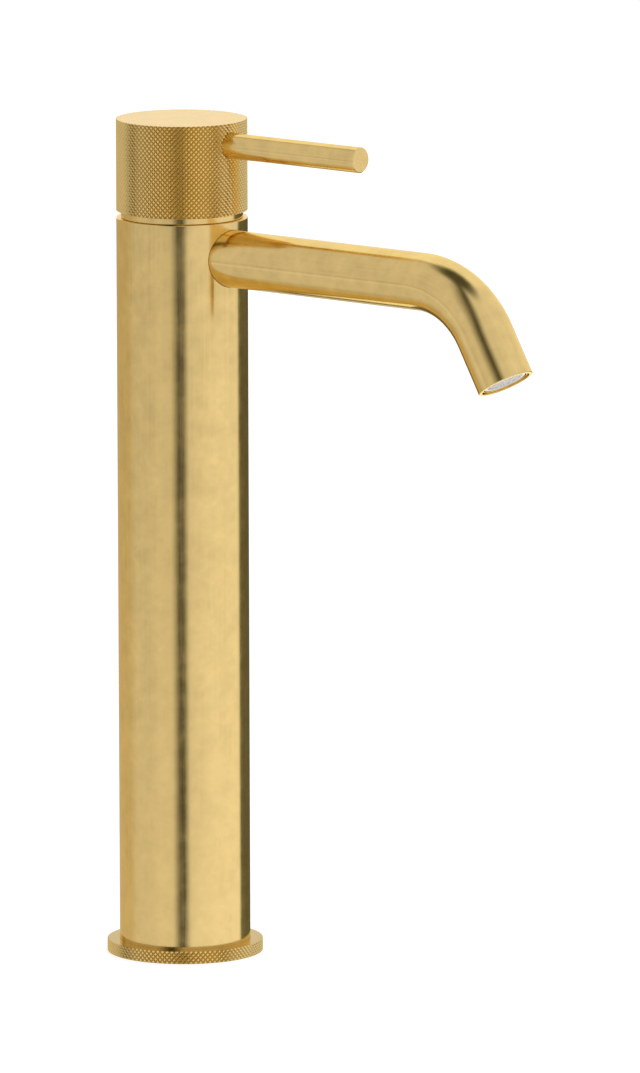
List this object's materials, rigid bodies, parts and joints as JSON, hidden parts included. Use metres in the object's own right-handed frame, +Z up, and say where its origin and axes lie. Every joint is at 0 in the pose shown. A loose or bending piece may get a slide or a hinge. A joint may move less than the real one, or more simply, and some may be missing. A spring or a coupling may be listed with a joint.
{
  "type": "bathroom mixer faucet",
  "caption": "Tall single-lever basin mixer: round brushed brass column on a knurled base ring, straight spout turned down at its end, knurled cap with a slim lever that lifts and turns.",
  "frame": {"origin": "centre of the base's underside, on the deck that the faucet stands on", "axes": "+Z up along the column's axis; the spout and the lever point along -Y, so -Y is the front; +X is the cold side"},
  "size_m": [0.0596, 0.1981, 0.3212],
  "materials": {
    "brushed_brass": "satin brushed, slightly mottled",
    "knurled_brass": "diamond knurled, satin",
    "raw_brass": "machined",
    "copper": "drawn copper tube",
    "steel": "plain",
    "rubber": "matte black",
    "cartridge_plastic": "moulded",
    "aerator_plastic": "moulded grey",
    "ceramic": "lapped"
  },
  "bodies": {
    "fixed_body": {"base_ring": "knurled_brass", "deck_gasket": "rubber", "base_insert": "raw_brass", "insert_o_ring": "rubber", "riser_hot": "copper", "riser_cold": "copper", "riser_seal_hot_lower": "rubber", "riser_seal_hot_upper": "rubber", "riser_seal_cold_lower": "rubber", "riser_seal_cold_upper": "rubber", "body_tube": "brushed_brass", "valve_body": "raw_brass", "spout_tube": "brushed_brass", "spout_o_ring": "rubber", "aerator_housing": "raw_brass", "aerator_insert": "aerator_plastic", "aerator_seal": "rubber", "neck_ring": "brushed_brass", "cartridge_nut": "raw_brass", "cartridge_shell": "cartridge_plastic", "cartridge_o_ring": "rubber", "cartridge_base": "cartridge_plastic", "inlet_seal_hot": "rubber", "inlet_seal_cold": "rubber", "fixed_disc": "ceramic"},
    "turret_body": {"turret": "cartridge_plastic", "pivot_pin": "steel"},
    "disc_pack": {"moving_disc": "ceramic", "disc_carrier": "cartridge_plastic"},
    "handle": {"stem": "raw_brass", "handle_cap": "knurled_brass", "lever": "brushed_brass", "lever_stud": "steel", "handle_grub_screw": "steel", "screw_plug": "brushed_brass"}
  },
  "joints": [
    {"name": "handle_turn", "type": "hinge", "parent": "fixed_body", "child": "turret_body", "pos_m": [0, 0, 0.266], "axis": [0, 0, 1], "range_deg": [-50, 50]},
    {"name": "handle_lift", "type": "hinge", "parent": "turret_body", "child": "handle", "pos_m": [0, 0, 0.266], "axis": [-1, 0, 0], "range_deg": [0, 20]},
    {"name": "disc_slide", "type": "slide", "parent": "turret_body", "child": "disc_pack", "axis": [0, -1, 0], "range_m": [0, 0.0028]}
  ],
  "couplings": [
    {"joint": "disc_slide", "follows": "handle_lift", "m_per_rad": 0.008}
  ]
}
